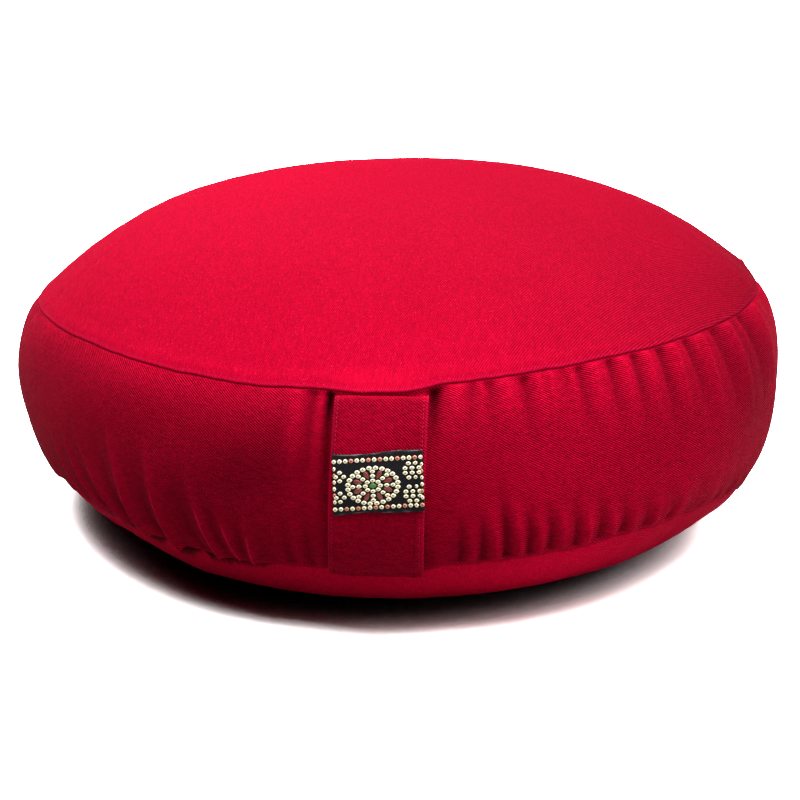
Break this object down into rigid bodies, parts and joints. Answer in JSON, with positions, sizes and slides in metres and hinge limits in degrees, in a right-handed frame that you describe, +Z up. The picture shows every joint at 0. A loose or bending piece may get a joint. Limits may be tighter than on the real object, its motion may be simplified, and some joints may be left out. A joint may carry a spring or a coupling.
{
  "type": "round meditation cushion",
  "caption": "Round crowned floor cushion in twill with a gathered side panel between two seams, and a flat handle strap down one side that carries a patterned trim band.",
  "frame": {"origin": "on the floor under the middle of the cushion, in the plane of its resting flat", "axes": "+Z up through the crown, -Y towards the handle strap, +X to the right when facing the strap"},
  "size_m": [0.3372, 0.3291, 0.151],
  "materials": {
    "cover_twill": "crimson cotton twill, matt with a slight sheen",
    "strap_twill": "crimson cotton twill, hemmed and topstitched",
    "trim_ribbon": "black woven ribbon with a pale dot pattern"
  },
  "bodies": {
    "root": {"cushion": "cover_twill", "handle_strap": "strap_twill", "trim_band": "trim_ribbon"}
  },
  "joints": []
}
